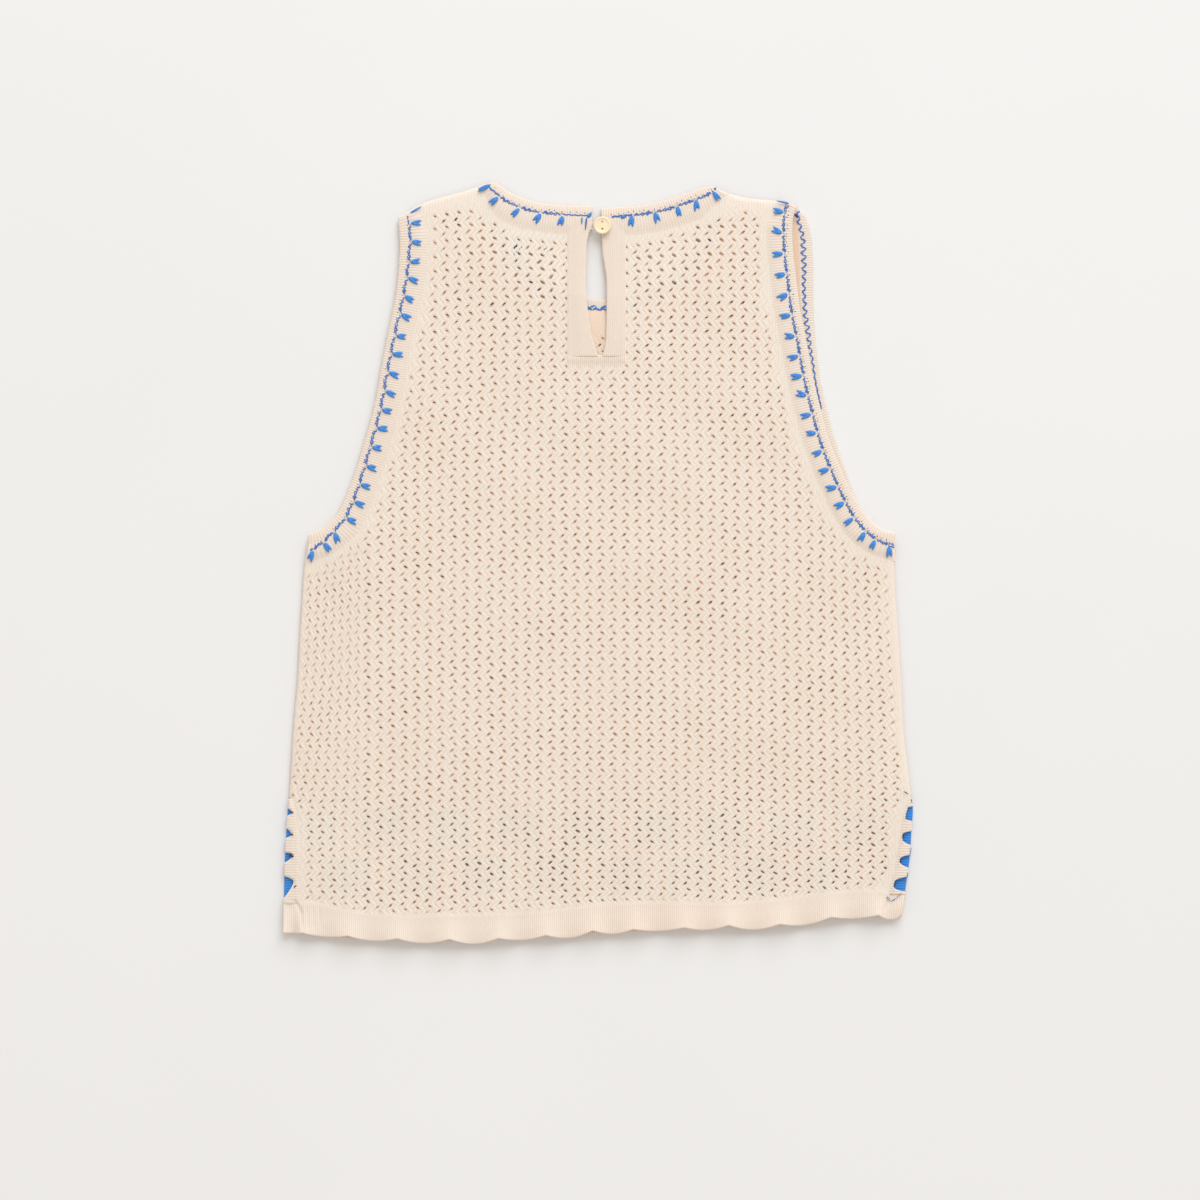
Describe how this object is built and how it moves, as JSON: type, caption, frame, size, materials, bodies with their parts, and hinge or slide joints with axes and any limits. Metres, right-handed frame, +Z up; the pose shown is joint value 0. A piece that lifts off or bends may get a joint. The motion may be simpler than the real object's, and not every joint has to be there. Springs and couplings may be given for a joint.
{
  "type": "crochet top",
  "caption": "Child's sleeveless open-knit top laid flat, back up, with a buttoned keyhole slit, banded neck and armholes, scalloped side vents and a ruffled hem.",
  "frame": {"origin": "on the surface that the garment lies on, under the middle of its bounding box", "axes": "+X to the right as it lies with its back up, +Y from the hem to the neck, +Z up from the surface"},
  "size_m": [0.3773, 0.4565, 0.0086],
  "materials": {
    "open_knit": "cream cotton yarn, open mesh knit, matt",
    "plain_knit": "cream cotton yarn, close plain knit, matt",
    "blue_yarn": "bright blue embroidery yarn, slight sheen",
    "button": "dished cream plastic, soft gloss",
    "thread": "cream sewing yarn, matt"
  },
  "bodies": {
    "root": {"back_panel": "open_knit", "front_panel": "open_knit", "placket_left": "plain_knit", "placket_right": "plain_knit", "placket_foot": "plain_knit", "neck_band_back_left": "plain_knit", "neck_band_back_right": "plain_knit", "neck_band_front": "plain_knit", "armhole_band_left_back": "plain_knit", "armhole_band_left_front": "plain_knit", "armhole_band_right_back": "plain_knit", "armhole_band_right_front": "plain_knit", "hem_band_back": "plain_knit", "hem_band_front": "plain_knit", "vent_edging_left_back": "plain_knit", "vent_edging_right_back": "plain_knit", "vent_edging_left_front": "blue_yarn", "vent_edging_right_front": "blue_yarn", "button": "button", "button_shank": "thread", "button_loop": "thread"}
  },
  "joints": []
}
